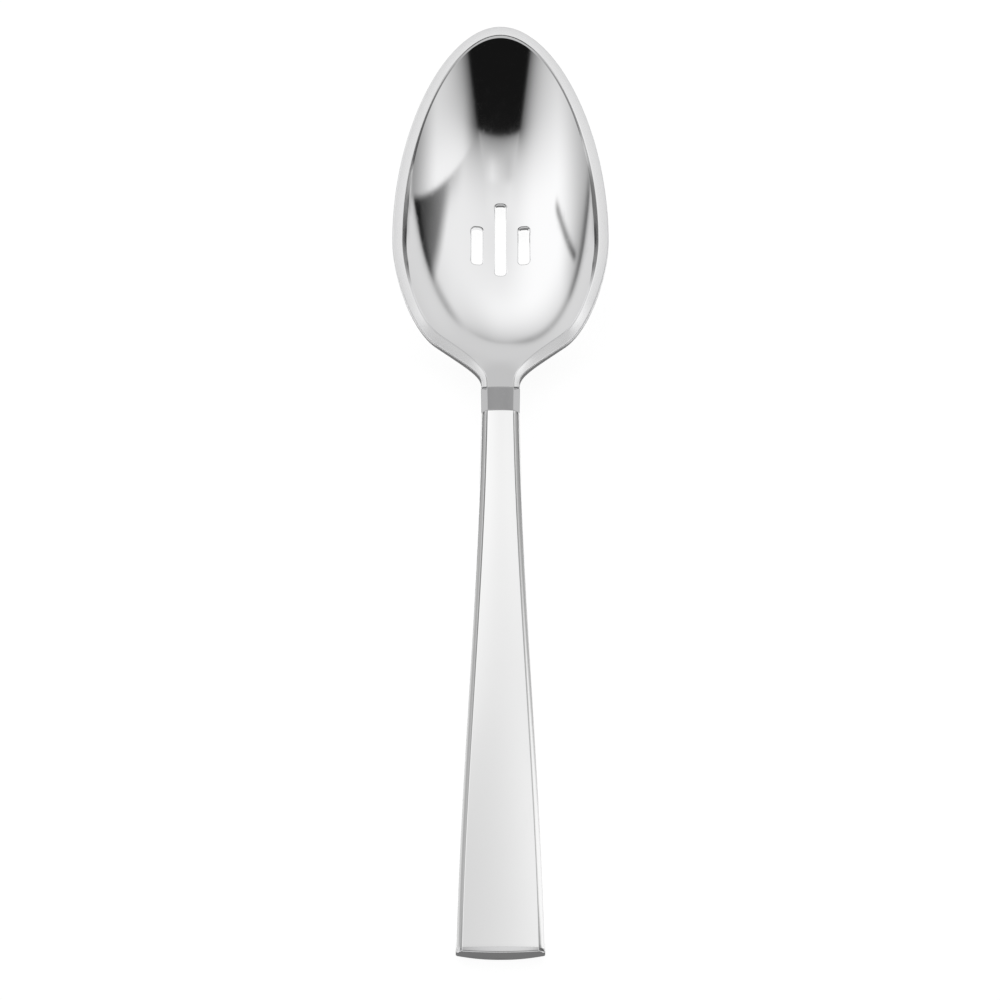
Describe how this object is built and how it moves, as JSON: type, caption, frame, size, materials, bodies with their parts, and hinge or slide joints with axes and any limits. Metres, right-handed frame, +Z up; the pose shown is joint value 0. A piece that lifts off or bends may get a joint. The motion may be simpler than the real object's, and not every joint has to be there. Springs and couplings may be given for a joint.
{
  "type": "slotted serving spoon",
  "caption": "Hollow-handled serving spoon with a pierced oval bowl, for lifting food out of its liquid and serving it.",
  "frame": {"origin": "on the table, under the centre of the spoon's bounding box", "axes": "+Y towards the tip of the bowl, +X across the spoon, +Z up from the table"},
  "size_m": [0.047, 0.213, 0.0127],
  "materials": {
    "bowl_steel": "mirror polished stainless steel",
    "collar_steel": "mirror polished stainless steel",
    "shell_steel": "mirror polished stainless steel",
    "plate_steel": "polished stainless steel",
    "filler_resin": "cast resin, hidden"
  },
  "bodies": {
    "root": {"bowl": "bowl_steel", "neck_collar": "collar_steel", "handle_top_shell": "shell_steel", "handle_bottom_shell": "shell_steel", "end_plate": "plate_steel", "tang_filler": "filler_resin"}
  },
  "joints": []
}
